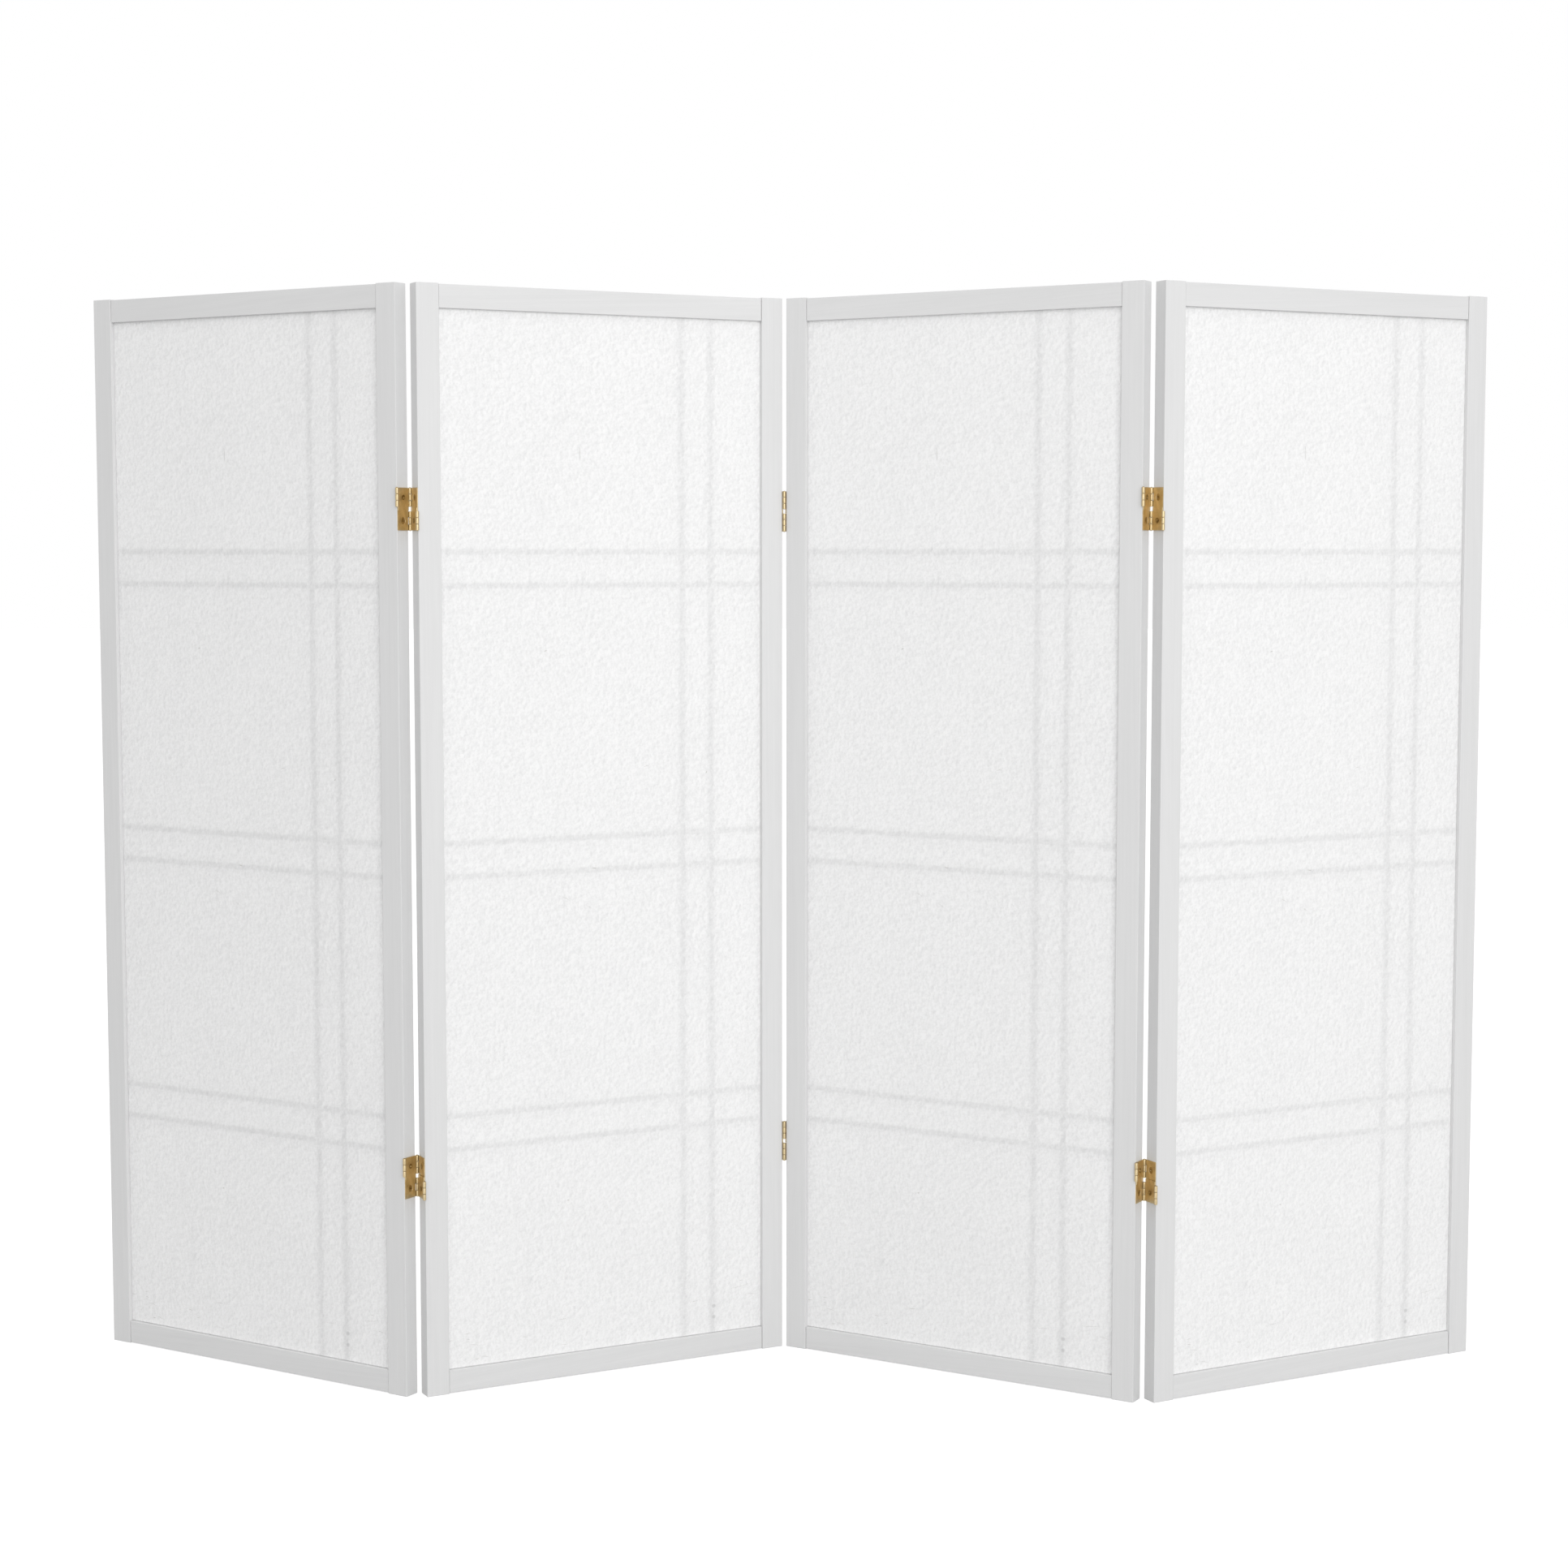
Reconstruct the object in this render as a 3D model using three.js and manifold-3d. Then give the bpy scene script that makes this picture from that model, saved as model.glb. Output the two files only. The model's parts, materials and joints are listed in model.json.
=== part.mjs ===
// Four-panel folding paper screen: white painted softwood frames, a lattice with double cross
// bars, one sheet of paper in each panel, and brass hinges that can fold either way.
// Millimetres. +Z is up, +X runs along the width, and -Y is the back, the side without lattice.
// The origin is on the floor at the middle of the standing zigzag.
import * as THREE from "three";
import { mergeVertices } from "three/addons/utils/BufferGeometryUtils.js";
import Module from "manifold-3d";

// Panels as they stand. A positive fold brings the front faces together, a negative one the backs.
const panelHeight = 1219;
const panelWidth = 441;
const frameDepth = 19;
const firstHeading = -31.2;
const standingFolds = [58.5, -57.7, 57.8];

// Frame members
const stileWidth = 26;
const stileEdge = 0.6;
const railHeight = 25.6;
const railEdge = 0.6;
const railSetback = 0.8;
const railDrop = 0.8;
const tenonLength = 12;
const tenonThickness = 7;
const tenonShoulder = 4.8;
const woodGap = 0.3;

// Lattice and paper. The paper lies behind the lattice, seen from the front.
const barWidth = 5.6;
const barDepth = 8;
const barTuck = 5;
const crossHeights = [291.9, 594.1, 912.7];
const crossSpacing = 37;
const uprightPlace = 333.9;
const uprightSpacing = 36.4;
const paperThickness = 0.4;
const paperRecess = 5.2;
const paperTuck = 4;

// Hinges. Each has two leaves and two crossing links, on a front and a back pin line.
const hingeHeights = { bottom: 244.9, top: 977.1 };
const platePly = 0.6;
const plyGap = 0.2;
const pinRadius = 1;
const pinGap = 0.3;
const barrelInset = 0.3;
const barrelLength = 20.6;
const barrelSpacing = 4.8;
const knuckleGap = 0.3;
const turningGap = 0.3;
const pinDome = 0.6;
const screwSpacing = 25;
const screwHeadRadius = 3.9;
const screwSeatRadius = 3.3;
const accessRadius = 2.9;
const pilotRadius = 1.4;
const pilotDepth = 15;

// Facets
const edgeSegments = 1;
const barrelSides = 8;
const holeSides = 8;
const pilotSides = 6;
const overrun = 1;

// What follows from the sizes above
const hingeGap = 4 * platePly + 5 * plyGap;
const boreRadius = pinRadius + pinGap;
const barrelRadius = boreRadius + platePly;
const pinLine = frameDepth / 2 + barrelRadius - barrelInset;
const plateHalf = pinLine - barrelRadius - turningGap;
const barrelOuter = barrelLength + barrelSpacing / 2;
const knuckleLength = (barrelLength - 2 * knuckleGap) / 3;
const openingLow = railDrop + railHeight;
const openingHigh = panelHeight - openingLow;
const openingWidth = panelWidth - 2 * stileWidth;
const paperBack = -frameDepth / 2 + paperRecess;
const barBack = paperBack + paperThickness + woodGap;
const crossBars = crossHeights.flatMap((z) => [z - crossSpacing / 2, z + crossSpacing / 2]);
const uprights = [uprightPlace - uprightSpacing / 2, uprightPlace + uprightSpacing / 2];

const whitePaint = { color: 0xe4e3e1, roughness: 0.5, metalness: 0 };
const ricePaper = { color: 0xf2f1ef, roughness: 0.9, metalness: 0 };
const brass = { color: 0xb08a4a, roughness: 0.35, metalness: 1 };

const wasm = await Module();
wasm.setup();

// A closed geometry as a solid that can be joined and cut
function solidOf(geometry) {
  const bare = geometry.clone();
  bare.deleteAttribute("normal");
  bare.deleteAttribute("uv");
  const merged = mergeVertices(bare);
  const vertProperties = merged.attributes.position.array;
  const triVerts = new Uint32Array(merged.index.array);
  return new wasm.Manifold(new wasm.Mesh({ numProp: 3, vertProperties, triVerts }));
}

function namedMesh(name, solid, finish) {
  const cut = solid.getMesh();
  const geometry = new THREE.BufferGeometry();
  geometry.setAttribute("position", new THREE.BufferAttribute(cut.vertProperties, cut.numProp));
  geometry.setIndex(new THREE.BufferAttribute(cut.triVerts, 1));
  geometry.computeVertexNormals();
  const mesh = new THREE.Mesh(geometry, new THREE.MeshStandardMaterial(finish));
  mesh.name = name;
  return mesh;
}

// A block between two corners
function block(x0, x1, y0, y1, z0, z1) {
  const geometry = new THREE.BoxGeometry(x1 - x0, y1 - y0, z1 - z0);
  geometry.translate((x0 + x1) / 2, (y0 + y1) / 2, (z0 + z1) / 2);
  return solidOf(geometry);
}

// A planed length of wood along Z with all its edges eased, its middle at the origin
function planedBar(width, depth, length, edge) {
  const x = width / 2 - edge;
  const y = depth / 2 - edge;
  const section = new THREE.Shape();
  section.absarc(x, y, edge, 0, Math.PI / 2);
  section.absarc(-x, y, edge, Math.PI / 2, Math.PI);
  section.absarc(-x, -y, edge, Math.PI, 1.5 * Math.PI);
  section.absarc(x, -y, edge, 1.5 * Math.PI, 2 * Math.PI);
  const ease = edge / 2;
  const geometry = new THREE.ExtrudeGeometry(section, {
    depth: length - 2 * ease,
    curveSegments: edgeSegments,
    bevelThickness: ease,
    bevelSize: ease,
    bevelOffset: -ease,
    bevelSegments: 1,
  });
  geometry.translate(0, 0, ease - length / 2);
  return geometry;
}

// A round hole or post along X, from x0 with radius r0 to x1 with radius r1
function roundAlongX(x0, r0, x1, r1, sides) {
  const geometry = new THREE.CylinderGeometry(r1, r0, x1 - x0, sides);
  geometry.rotateZ(-Math.PI / 2);
  geometry.translate((x0 + x1) / 2, 0, 0);
  return solidOf(geometry);
}

// A round post along Z at y, between two heights
function roundAlongZ(radius, y, z0, z1) {
  const geometry = new THREE.CylinderGeometry(radius, radius, z1 - z0, barrelSides);
  geometry.rotateX(Math.PI / 2);
  geometry.translate(0, y, (z0 + z1) / 2);
  return solidOf(geometry);
}

// One upright member. Its inner face looks along inner, +1 or -1, and its outer face takes hinges.
function stileSolid(inner, hinged) {
  let stile = solidOf(planedBar(stileWidth, frameDepth, panelHeight, stileEdge));
  stile = stile.translate([0, 0, panelHeight / 2]);
  const cutIn = (depth, y0, y1, z0, z1) => {
    const face = stileWidth / 2;
    const ends = [inner * (face - depth), inner * (face + overrun)];
    stile = stile.subtract(block(Math.min(...ends), Math.max(...ends), y0, y1, z0, z1));
  };
  const slot = paperTuck + woodGap;
  cutIn(slot, paperBack - woodGap, barBack, openingLow - slot, openingHigh + slot);
  for (const z of crossBars) {
    const half = barWidth / 2 + woodGap;
    cutIn(barTuck + woodGap, barBack - woodGap, barBack + barDepth + woodGap, z - half, z + half);
  }
  for (const z of [railDrop, panelHeight - railDrop - railHeight]) {
    const low = z + tenonShoulder - woodGap;
    const high = z + railHeight - tenonShoulder + woodGap;
    const front = barBack + tenonThickness + woodGap;
    cutIn(tenonLength + woodGap, barBack - woodGap, front, low, high);
  }
  if (!hinged) return stile;
  for (const z of Object.values(hingeHeights)) {
    for (const side of [-1, 1]) {
      const face = -inner * stileWidth / 2;
      const ends = [face + inner * pilotDepth, face - inner * overrun].sort((a, b) => a - b);
      const pilot = roundAlongX(ends[0], pilotRadius, ends[1], pilotRadius, pilotSides);
      stile = stile.subtract(pilot.translate([0, 0, z + side * screwSpacing / 2]));
    }
  }
  return stile;
}

// One cross member with its stub tenons. Its inner edge looks along inner, +1 up or -1 down.
function railSolid(inner) {
  const length = openingWidth - 2 * woodGap;
  const wood = planedBar(railHeight, frameDepth - 2 * railSetback, length, railEdge);
  let rail = solidOf(wood.rotateY(Math.PI / 2));
  const reach = openingWidth / 2 + tenonLength;
  const tenonHalf = railHeight / 2 - tenonShoulder;
  for (const side of [-1, 1]) {
    const ends = [side * (length / 2 - overrun), side * reach].sort((a, b) => a - b);
    const front = barBack + tenonThickness;
    rail = rail.add(block(ends[0], ends[1], barBack, front, -tenonHalf, tenonHalf));
  }
  const cutIn = (depth, x0, x1, y0, y1) => {
    const face = railHeight / 2;
    const ends = [inner * (face - depth), inner * (face + overrun)];
    rail = rail.subtract(block(x0, x1, y0, y1, Math.min(...ends), Math.max(...ends)));
  };
  const past = length / 2 + overrun;
  cutIn(paperTuck + woodGap, -past, past, paperBack - woodGap, barBack);
  for (const place of uprights) {
    const x = place - panelWidth / 2;
    const half = barWidth / 2 + woodGap;
    cutIn(barTuck + woodGap, x - half, x + half, barBack - woodGap, barBack + barDepth + woodGap);
  }
  return rail;
}

// Two uprights and six cross bars, half-lapped and glued into one grid
function latticeSolid() {
  const front = barBack + barDepth;
  const left = stileWidth - barTuck;
  const low = openingLow - barTuck;
  const bars = [
    ...uprights.map((x) => {
      return block(x - barWidth / 2, x + barWidth / 2, barBack, front, low, openingHigh + barTuck);
    }),
    ...crossBars.map((z) => {
      return block(left, panelWidth - left, barBack, front, z - barWidth / 2, z + barWidth / 2);
    }),
  ];
  return bars.reduce((grid, bar) => grid.add(bar));
}

// The sheet of paper, its edges tucked into the slots of the frame
function paperSolid() {
  const left = stileWidth - paperTuck;
  const low = openingLow - paperTuck;
  const front = paperBack + paperThickness;
  return block(left, panelWidth - left, paperBack, front, low, openingHigh + paperTuck);
}

// One panel, its lower left corner at the origin as seen from the back
function makePanel(number, hingedLeft, hingedRight) {
  const panel = new THREE.Group();
  const add = (piece, solid, finish, x, y, z) => {
    const mesh = namedMesh(`panel_${number}_${piece}`, solid, finish);
    mesh.position.set(x, y, z);
    panel.add(mesh);
  };
  const middle = panelWidth / 2;
  const railMiddle = railDrop + railHeight / 2;
  add("left_stile", stileSolid(1, hingedLeft), whitePaint, stileWidth / 2, 0, 0);
  add("right_stile", stileSolid(-1, hingedRight), whitePaint, panelWidth - stileWidth / 2, 0, 0);
  add("bottom_rail", railSolid(1), whitePaint, middle, 0, railMiddle);
  add("top_rail", railSolid(-1), whitePaint, middle, 0, panelHeight - railMiddle);
  add("lattice", latticeSolid(), whitePaint, 0, 0, 0);
  add("paper", paperSolid(), ricePaper, 0, 0, 0);
  return panel;
}

// The hinge pieces are made for the left panel of a fold that closes the front faces, around the
// middle of the gap. The turning barrel is in front and low, the resting one at the back and high.
const turning = { y: pinLine, low: -barrelOuter };
const resting = { y: -pinLine, low: barrelSpacing / 2 };

function knuckleSpan(barrel, index) {
  const z = barrel.low + index * (knuckleLength + knuckleGap);
  return [z, z + knuckleLength];
}

// A rolled knuckle and the tab that joins it to its plate, which lies between x0 and x1
function knuckle(barrel, index, x0, x1) {
  const [z0, z1] = knuckleSpan(barrel, index);
  const side = Math.sign(barrel.y);
  const ends = [side * (plateHalf - overrun), side * (pinLine - boreRadius)];
  const tab = block(x0, x1, Math.min(...ends), Math.max(...ends), z0, z1);
  return roundAlongZ(barrelRadius, barrel.y, z0, z1).add(tab);
}

function bore(barrel, index) {
  const [z0, z1] = knuckleSpan(barrel, index);
  return roundAlongZ(boreRadius, barrel.y, z0 - knuckleGap / 2, z1 + knuckleGap / 2);
}

// A hinge pin in the turning barrel, with a domed head at its outer, lower end
function pinSolid() {
  const foot = turning.low - pinDome;
  const top = turning.low + barrelLength;
  const profile = [
    new THREE.Vector2(0, foot),
    new THREE.Vector2(pinRadius / 2, foot),
    new THREE.Vector2(pinRadius, foot + pinDome),
    new THREE.Vector2(pinRadius, top),
    new THREE.Vector2(0, top),
  ];
  const geometry = new THREE.LatheGeometry(profile, barrelSides);
  geometry.rotateX(Math.PI / 2);
  geometry.translate(0, turning.y, 0);
  return solidOf(geometry);
}

// A leaf, screwed to the edge of its panel. The resting pin is riveted into it.
function leafSolid() {
  const x0 = -hingeGap / 2 + plyGap;
  const x1 = x0 + platePly;
  let leaf = block(x0, x1, -plateHalf, plateHalf, -barrelOuter, barrelOuter);
  for (const index of [0, 2]) {
    leaf = leaf.add(knuckle(turning, index, x0, x1)).subtract(bore(turning, index));
    leaf = leaf.add(knuckle(resting, index, x0, x1));
  }
  leaf = leaf.add(pinSolid().rotate([180, 0, 0]));
  for (const side of [-1, 1]) {
    const hole = roundAlongX(x0 - plyGap, screwSeatRadius, x1 + plyGap, screwHeadRadius, holeSides);
    leaf = leaf.subtract(hole.translate([0, 0, side * screwSpacing / 2]));
  }
  return leaf;
}

// A link, which crosses from the resting barrel of one leaf to the turning barrel of the other
function linkSolid() {
  const x0 = -plyGap / 2 - platePly;
  const x1 = -plyGap / 2;
  const foot = turningGap - resting.low;
  let link = block(x0, x1, -plateHalf, plateHalf, foot, barrelOuter);
  for (const y of [pinLine, -pinLine]) {
    const barrel = { y, low: resting.low };
    link = link.add(knuckle(barrel, 1, x0, x1)).subtract(bore(barrel, 1));
  }
  const access = roundAlongX(x0 - plyGap, accessRadius, x1 + plyGap, accessRadius, holeSides);
  return link.subtract(access.translate([0, 0, screwSpacing / 2]));
}

// The half of a hinge that stays with one panel of a fold
function addHingeHalf(panel, fold, level, right, backFold) {
  const pieces = { leaf: leafSolid(), link: linkSolid(), pin: pinSolid() };
  for (const [piece, solid] of Object.entries(pieces)) {
    const side = right ? "right" : "left";
    const mesh = namedMesh(`hinge_${fold}_${level}_${side}_${piece}`, solid, brass);
    const x = right ? -hingeGap / 2 : panelWidth + hingeGap / 2;
    mesh.position.set(x, 0, hingeHeights[level]);
    mesh.rotation.set(backFold ? Math.PI : 0, right ? Math.PI : 0, 0);
    panel.add(mesh);
  }
}

// Panels one after another, each turned about the pin line that it shares with the one before
function makeScreen() {
  const screen = new THREE.Group();
  screen.rotation.z = THREE.MathUtils.degToRad(firstHeading);
  let carrier = screen;
  for (let i = 0; i <= standingFolds.length; i++) {
    const panel = makePanel(i + 1, i > 0, i < standingFolds.length);
    carrier.add(panel);
    for (const level of Object.keys(hingeHeights)) {
      if (i > 0) addHingeHalf(panel, `${i}${i + 1}`, level, true, standingFolds[i - 1] < 0);
      if (i === standingFolds.length) continue;
      addHingeHalf(panel, `${i + 1}${i + 2}`, level, false, standingFolds[i] < 0);
    }
    if (i === standingFolds.length) break;
    const pinY = Math.sign(standingFolds[i]) * pinLine;
    const fold = new THREE.Group();
    fold.position.set(panelWidth + hingeGap / 2, pinY, 0);
    fold.rotation.z = THREE.MathUtils.degToRad(standingFolds[i]);
    panel.add(fold);
    carrier = new THREE.Group();
    carrier.position.set(hingeGap / 2, -pinY, 0);
    fold.add(carrier);
  }
  return screen;
}

// Stand the zigzag over the origin
const screen = makeScreen();
screen.updateMatrixWorld(true);
const footprint = new THREE.Box3().setFromObject(screen, true);
const centre = footprint.getCenter(new THREE.Vector3());
screen.position.set(-centre.x, -centre.y, -footprint.min.z);

export default screen;
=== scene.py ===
import json
import math

import bmesh
import bpy
from mathutils import Matrix, Vector, noise


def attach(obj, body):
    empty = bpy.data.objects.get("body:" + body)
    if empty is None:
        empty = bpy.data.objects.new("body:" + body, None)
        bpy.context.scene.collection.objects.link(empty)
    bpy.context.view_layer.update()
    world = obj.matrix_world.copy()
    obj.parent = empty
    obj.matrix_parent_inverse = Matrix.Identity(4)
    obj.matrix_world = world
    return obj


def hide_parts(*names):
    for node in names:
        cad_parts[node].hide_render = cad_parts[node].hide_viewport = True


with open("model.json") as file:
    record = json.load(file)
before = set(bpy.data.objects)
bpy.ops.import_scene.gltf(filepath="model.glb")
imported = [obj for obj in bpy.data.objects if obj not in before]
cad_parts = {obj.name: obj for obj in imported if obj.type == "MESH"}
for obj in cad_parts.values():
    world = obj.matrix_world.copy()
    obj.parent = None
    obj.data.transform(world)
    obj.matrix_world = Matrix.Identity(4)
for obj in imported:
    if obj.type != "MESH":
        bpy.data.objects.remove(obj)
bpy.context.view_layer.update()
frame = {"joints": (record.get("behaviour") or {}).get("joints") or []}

# Looks of a four-panel folding paper screen, seen from the back. Metres. A panel's own frame has X
# along its width from the left edge, Y from the back to the front and Z up from the floor.

# Frame members
PANEL_HEIGHT = 1.219
PANEL_WIDTH = 0.441
FRAME_DEPTH = 0.019
STILE_WIDTH = 0.026
STILE_EDGE = 0.0006
RAIL_HEIGHT = 0.0256
RAIL_EDGE = 0.0006
RAIL_SETBACK = 0.0008
RAIL_DROP = 0.0008
END_EDGE = 0.0006
TENON_LENGTH = 0.012
TENON_THICKNESS = 0.007
TENON_SHOULDER = 0.0048
WOOD_GAP = 0.0003

# Lattice and paper
BAR_WIDTH = 0.0056
BAR_DEPTH = 0.008
BAR_TUCK = 0.005
BAR_EDGE = 0.0004
LAP_GAP = 0.00005
CROSS_HEIGHTS = (0.2919, 0.5941, 0.9127)
CROSS_SPACING = 0.037
UPRIGHT_PLACE = 0.3339
UPRIGHT_SPACING = 0.0364
PAPER_THICKNESS = 0.0004
PAPER_RECESS = 0.0052
PAPER_TUCK = 0.004
PAPER_STEP = 0.009
COCKLE = 0.00022

# The fibres that show in a sheet: middle across and up, length, slope in degrees, radius, in mm
FIBRE_BEND = 0.3
FIBRES = (
    (192, 1040, 15, 84, 0.15), (149, 822, 4, 25, 0.22), (206, 577, 5, -12, 0.24), (172, 545, 9, -20, 0.11),
    (200, 533, 9, -40, 0.09), (172, 202, 2.5, 0, 0.3), (346, 680, 3, 60, 0.24), (270, 690, 6, 24, 0.14),
    (50, 64, 7, 4, 0.12), (50, 58, 6, -4, 0.14), (29, 58, 8, 0, 0.1), (58, 51, 12, -3, 0.09),
    (61, 34, 6, 6, 0.14), (70, 36, 9, -4, 0.1), (164, 66, 9, -6, 0.1), (118, 52, 6, 0, 0.11),
    (130, 44, 5, 8, 0.11), (166, 37, 8, -3, 0.1), (35, 75, 4, 0, 0.1), (389, 84, 5, 5, 0.11),
    (388, 76, 26, 0, 0.07), (402, 67, 14, 1, 0.08), (329, 66, 13, -2, 0.08), (275, 73, 3, 0, 0.11),
)
# Soft dark spots in the pulp: middle across and up, radius in mm, and how dark
SMUDGES = ((354, 58, 3.2, 1.0), (354, 45, 3.4, 0.9), (125, 113, 9, 0.2))

# Hinges
HINGE_HEIGHTS = {"bottom": 0.2449, "top": 0.9771}
PLATE_PLY = 0.0006
PLY_GAP = 0.0002
PLATE_CORNER = 0.0008
PIN_RADIUS = 0.001
PIN_GAP = 0.0003
BARREL_INSET = 0.0003
BARREL_LENGTH = 0.0206
BARREL_SPACING = 0.0048
KNUCKLE_GAP = 0.0003
KNUCKLE_EDGE = 0.0004
TURNING_GAP = 0.0003
PIN_DOME = 0.0006
SCREW_SPACING = 0.025
SCREW_HEAD = 0.0039
SCREW_SEAT = 0.0033
SCREW_CLEARANCE = 0.0002
SCREW_CORE = 0.001
SCREW_THREAD = 0.00034
SCREW_PITCH = 0.0012
SCREW_LENGTH = 0.0145
SCREW_SINK = 0.0018
ACCESS_RADIUS = 0.0029
PILOT_RADIUS = 0.0014
PILOT_DEPTH = 0.015
OVERRUN = 0.001

# What follows from the sizes above
HINGE_GAP = 4 * PLATE_PLY + 5 * PLY_GAP
BORE_RADIUS = PIN_RADIUS + PIN_GAP
BARREL_RADIUS = BORE_RADIUS + PLATE_PLY
PIN_LINE = FRAME_DEPTH / 2 + BARREL_RADIUS - BARREL_INSET
PLATE_HALF = PIN_LINE - BARREL_RADIUS - TURNING_GAP
BARREL_OUTER = BARREL_LENGTH + BARREL_SPACING / 2
KNUCKLE_LENGTH = (BARREL_LENGTH - 2 * KNUCKLE_GAP) / 3
OPENING_LOW = RAIL_DROP + RAIL_HEIGHT
OPENING_HIGH = PANEL_HEIGHT - OPENING_LOW
OPENING_WIDTH = PANEL_WIDTH - 2 * STILE_WIDTH
PAPER_BACK = -FRAME_DEPTH / 2 + PAPER_RECESS
BAR_BACK = PAPER_BACK + PAPER_THICKNESS + WOOD_GAP
CROSS_BARS = [z + side * CROSS_SPACING / 2 for z in CROSS_HEIGHTS for side in (-1, 1)]
UPRIGHTS = [UPRIGHT_PLACE + side * UPRIGHT_SPACING / 2 for side in (-1, 1)]
LEAF_BACK = -HINGE_GAP / 2 + PLY_GAP
LINK_BACK = -PLY_GAP / 2 - PLATE_PLY

SMOOTH_ANGLE = math.radians(32)
joints = {joint["name"]: joint for joint in frame["joints"]}


# ---------------------------------------------------------------- meshes

def finished(bm, name, smooth=True):
    """The bmesh as a mesh with its faces pointing out, smooth but for its sharp edges."""
    bmesh.ops.recalc_face_normals(bm, faces=bm.faces)
    mesh = bpy.data.meshes.new(name)
    bm.to_mesh(mesh)
    bm.free()
    return softened(mesh) if smooth else mesh


def softened(mesh):
    mesh.polygons.foreach_set("use_smooth", [True] * len(mesh.polygons))
    mesh.set_sharp_from_angle(angle=SMOOTH_ANGLE)
    return mesh


def add_block(bm, low, high):
    """A block between two corners, added to bm. Returns its vertices."""
    made = bmesh.ops.create_cube(bm, size=1)["verts"]
    for vertex in made:
        vertex.co = [(a + b) / 2 + c * (b - a) for a, b, c in zip(low, high, vertex.co)]
    return made


def blocks(name, corners):
    """Separate blocks in one mesh, from (low corner, high corner) pairs."""
    bm = bmesh.new()
    for low, high in corners:
        add_block(bm, [min(pair) for pair in zip(low, high)], [max(pair) for pair in zip(low, high)])
    return finished(bm, name, smooth=False)


def cut(mesh, tools, operation="DIFFERENCE"):
    """mesh after each tool mesh in turn has been cut from it or joined to it."""
    target = bpy.data.objects.new("target", mesh)
    bpy.context.scene.collection.objects.link(target)
    helpers = []
    for tool in tools:
        helper = bpy.data.objects.new("tool", tool)
        bpy.context.scene.collection.objects.link(helper)
        modifier = target.modifiers.new("cut", "BOOLEAN")
        modifier.solver = "EXACT"
        modifier.operation = operation
        modifier.object = helper
        helpers.append(helper)
    shape = bpy.data.meshes.new_from_object(target.evaluated_get(bpy.context.evaluated_depsgraph_get()))
    shape.name = mesh.name
    for helper in [target, *helpers]:
        bpy.data.objects.remove(helper)
    return softened(shape)


def rounded_section(width, depth, edge, steps=4):
    """The points round a rectangle whose corners are round."""
    points = []
    for quarter, (across, along) in enumerate(((1, 1), (-1, 1), (-1, -1), (1, -1))):
        for i in range(steps + 1):
            angle = math.pi / 2 * (quarter + i / steps)
            points.append((across * (width / 2 - edge) + edge * math.cos(angle),
                           along * (depth / 2 - edge) + edge * math.sin(angle)))
    return points


def planed_bar(name, width, depth, length, edge):
    """A planed length of wood along Z, its middle at the origin and all its edges rounded."""
    end_steps = 3
    levels = []
    for i in range(end_steps + 1):
        angle = math.pi / 2 * i / end_steps
        levels.append((length / 2 - END_EDGE * (1 - math.cos(angle)), END_EDGE * (1 - math.sin(angle))))
    bm = bmesh.new()
    rings = []
    for height, inset in [(-h, i) for h, i in levels] + levels[::-1]:
        corner = edge * (1 - 0.6 * inset / END_EDGE)
        section = rounded_section(width - 2 * inset, depth - 2 * inset, corner)
        rings.append([bm.verts.new((x, y, height)) for x, y in section])
    for low, high in zip(rings, rings[1:]):
        for i in range(len(low)):
            j = (i + 1) % len(low)
            bm.faces.new((low[i], low[j], high[j], high[i]))
    bm.faces.new(rings[0])
    bm.faces.new(rings[-1])
    return finished(bm, name)


def turned(profile, segments, axis="Z"):
    """A bmesh of the closed solid that a profile of (radius, height) points makes round Z or X."""
    bm = bmesh.new()
    rings = []
    for radius, height in profile:
        count = segments if radius > 0 else 1
        spots = [(radius * math.cos(math.tau * i / count), radius * math.sin(math.tau * i / count))
                 for i in range(count)]
        rings.append([bm.verts.new((height, a, b) if axis == "X" else (a, b, height)) for a, b in spots])
    for low, high in zip(rings, rings[1:]):
        for i in range(segments):
            corners = [low[i % len(low)], low[(i + 1) % len(low)], high[(i + 1) % len(high)], high[i % len(high)]]
            bm.faces.new(dict.fromkeys(corners))
    return bm


def moved(bm, offset):
    bmesh.ops.translate(bm, vec=offset, verts=bm.verts)
    return bm


# ---------------------------------------------------------------- frame members

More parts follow.
